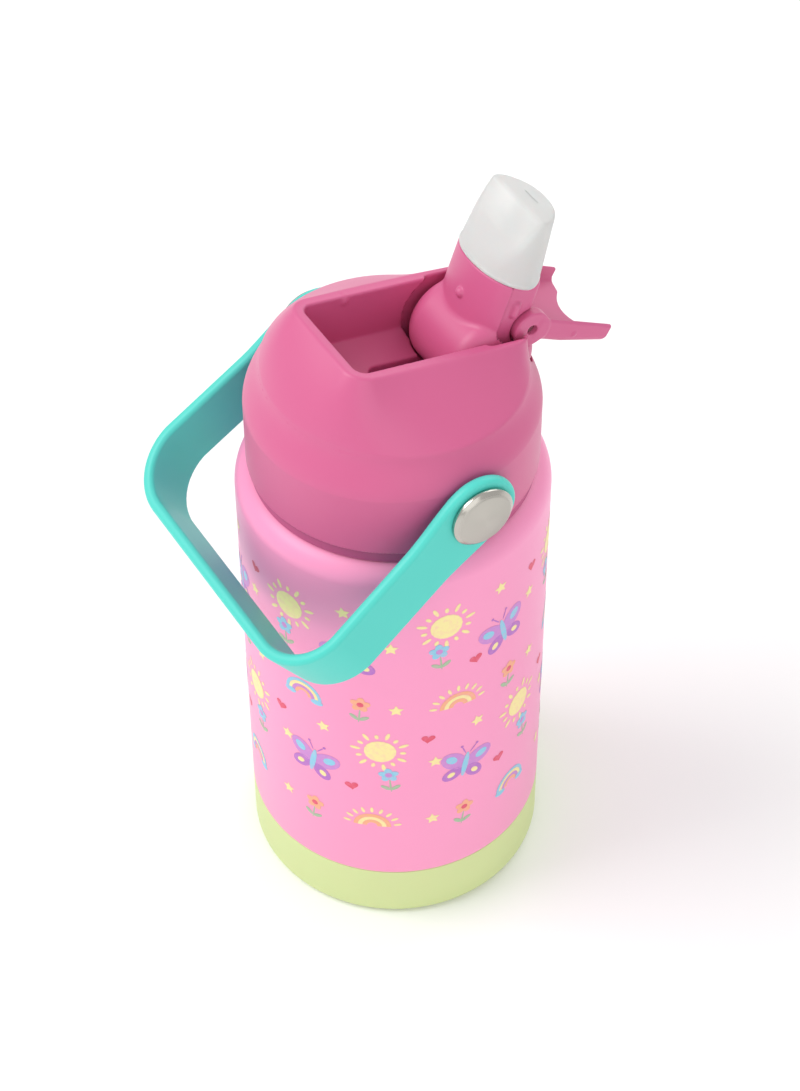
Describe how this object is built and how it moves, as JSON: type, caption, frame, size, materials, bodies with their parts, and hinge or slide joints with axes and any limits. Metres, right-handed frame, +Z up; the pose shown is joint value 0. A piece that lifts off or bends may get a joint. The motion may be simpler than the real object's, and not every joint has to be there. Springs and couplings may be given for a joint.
{
  "type": "kids water bottle",
  "caption": "Insulated children's water bottle with a screw lid, flip-up spout under a hinged cover, and a swing handle.",
  "frame": {"origin": "centre of the base, on the plane it stands on", "axes": "+Z up along the bottle; the drinking side and hanging handle are towards -Y; the handle rivets lie along X"},
  "size_m": [0.0806, 0.1015, 0.1926],
  "materials": {
    "pink_steel": "satin powder coat with printed motifs",
    "raw_steel": "brushed stainless steel",
    "lime_silicone": "matt silicone",
    "clear_silicone": "translucent frosted silicone",
    "raspberry_plastic": "fine satin moulding",
    "foam_plug": "closed-cell foam",
    "plum_silicone": "matt silicone",
    "straw_plastic": "clear moulded",
    "brushed_rivet": "spun face, polished edge",
    "nylon": "natural nylon",
    "teal_strap": "satin soft-touch moulding"
  },
  "bodies": {
    "bottle": {"outer_shell": "pink_steel", "inner_flask": "raw_steel", "base_plate": "raw_steel", "silicone_boot": "lime_silicone", "neck_thread": "raw_steel"},
    "gasket": {"lid_gasket": "clear_silicone"},
    "lid": {"lid_shell": "raspberry_plastic", "lid_collar": "raspberry_plastic", "lid_plug": "raspberry_plastic", "plug_thread": "raspberry_plastic", "plug_insulation": "foam_plug", "drum_seal": "clear_silicone", "vent_pad": "plum_silicone", "straw": "straw_plastic", "handle_rivets": "brushed_rivet", "rivet_washers": "nylon", "rivet_tails": "brushed_rivet"},
    "spout": {"spout_front": "raspberry_plastic", "spout_back": "raspberry_plastic", "spout_axles": "raw_steel", "nozzle_insert": "raspberry_plastic", "mouthpiece": "clear_silicone", "cover_pins": "raw_steel"},
    "cover": {"spout_cover": "raspberry_plastic"},
    "handle": {"handle_strap": "teal_strap", "handle_bushes": "nylon"}
  },
  "joints": [
    {"name": "lid_rise", "type": "slide", "parent": "bottle", "child": "gasket", "axis": [0, 0, 1], "range_m": [0, 0.00601]},
    {"name": "lid_turn", "type": "hinge", "parent": "gasket", "child": "lid", "pos_m": [0, 0, 0.13], "axis": [0, 0, 1], "range_deg": [0, 540]},
    {"name": "spout_flip", "type": "hinge", "parent": "lid", "child": "spout", "pos_m": [0, 0.0205, 0.1548], "axis": [1, 0, 0], "range_deg": [0, 98]},
    {"name": "cover_fold", "type": "hinge", "parent": "spout", "child": "cover", "pos_m": [0, 0.02899, 0.16235], "axis": [1, 0, 0], "range_deg": [0, 100]},
    {"name": "handle_swing", "type": "hinge", "parent": "lid", "child": "handle", "pos_m": [0, 0, 0.1417], "axis": [-1, 0, 0], "range_deg": [0, 130]}
  ],
  "couplings": [
    {"joint": "lid_rise", "follows": "lid_turn", "m_per_rad": 0.00063662}
  ]
}
